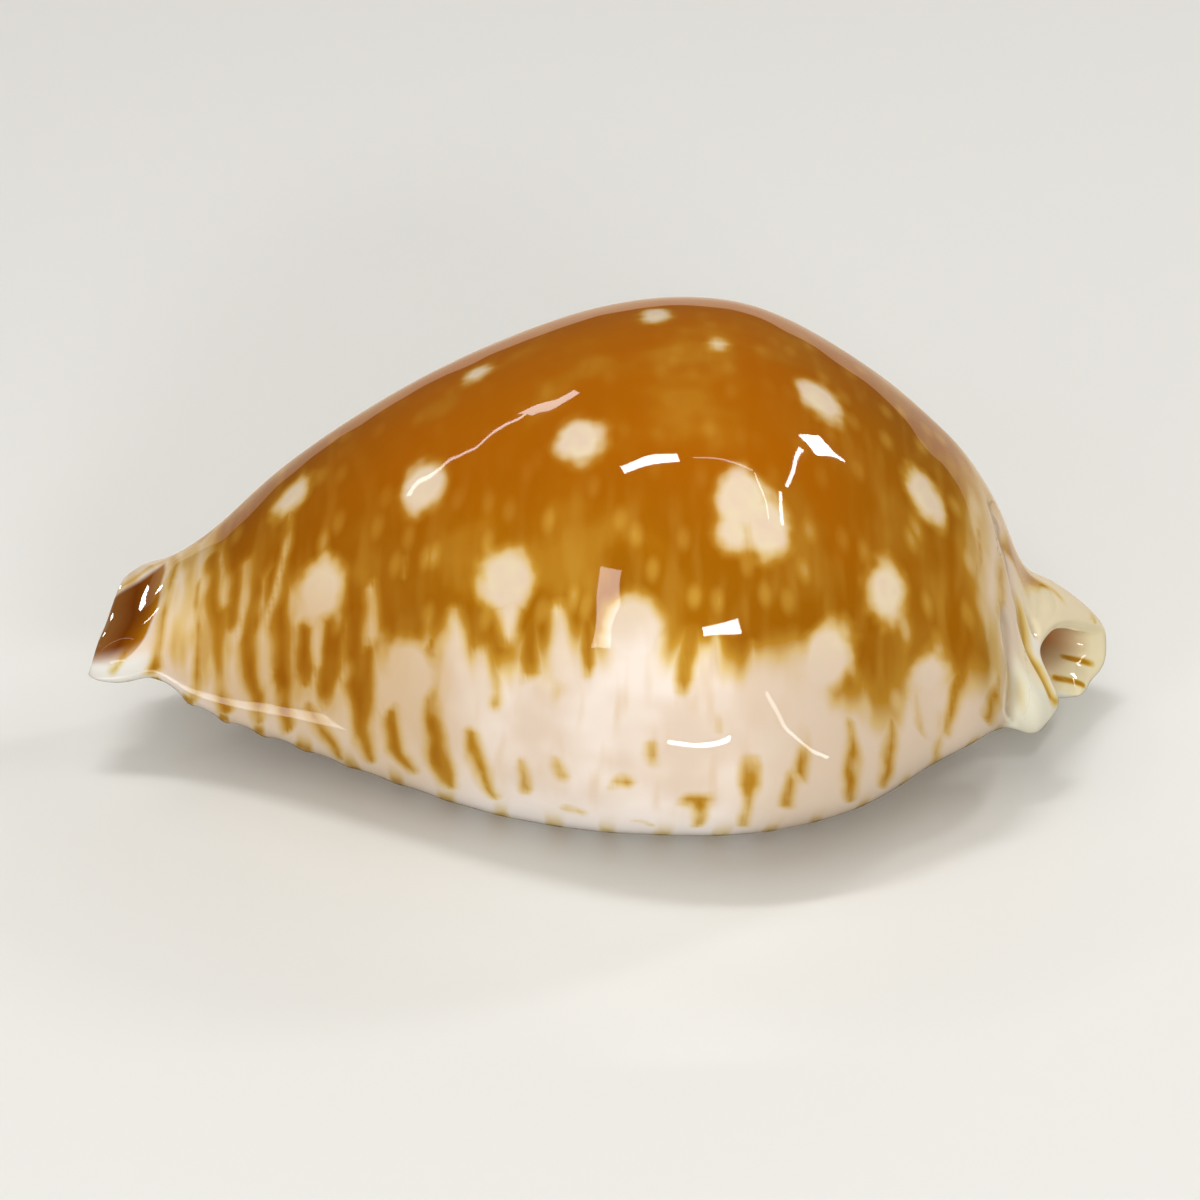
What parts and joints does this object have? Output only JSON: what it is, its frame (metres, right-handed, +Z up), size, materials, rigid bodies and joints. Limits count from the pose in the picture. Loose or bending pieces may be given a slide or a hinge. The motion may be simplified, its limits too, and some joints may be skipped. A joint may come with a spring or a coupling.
{
  "type": "cowrie shell",
  "caption": "Egg-shaped spotted cowrie shell with a toothed slit along its base, a narrow anterior spout and a rounded posterior canal, resting on its base.",
  "frame": {"origin": "centre of the shell's length and width, on the surface it rests on", "axes": "+X along the shell to its broad posterior end, +Y to the outer lip's side, +Z up out of the back"},
  "size_m": [0.062, 0.0373, 0.0278],
  "materials": {
    "glazed_shell": "glossy orange-brown back with round cream spots, white sides and base with brown stripes"
  },
  "bodies": {
    "root": {"shell": "glazed_shell"}
  },
  "joints": []
}
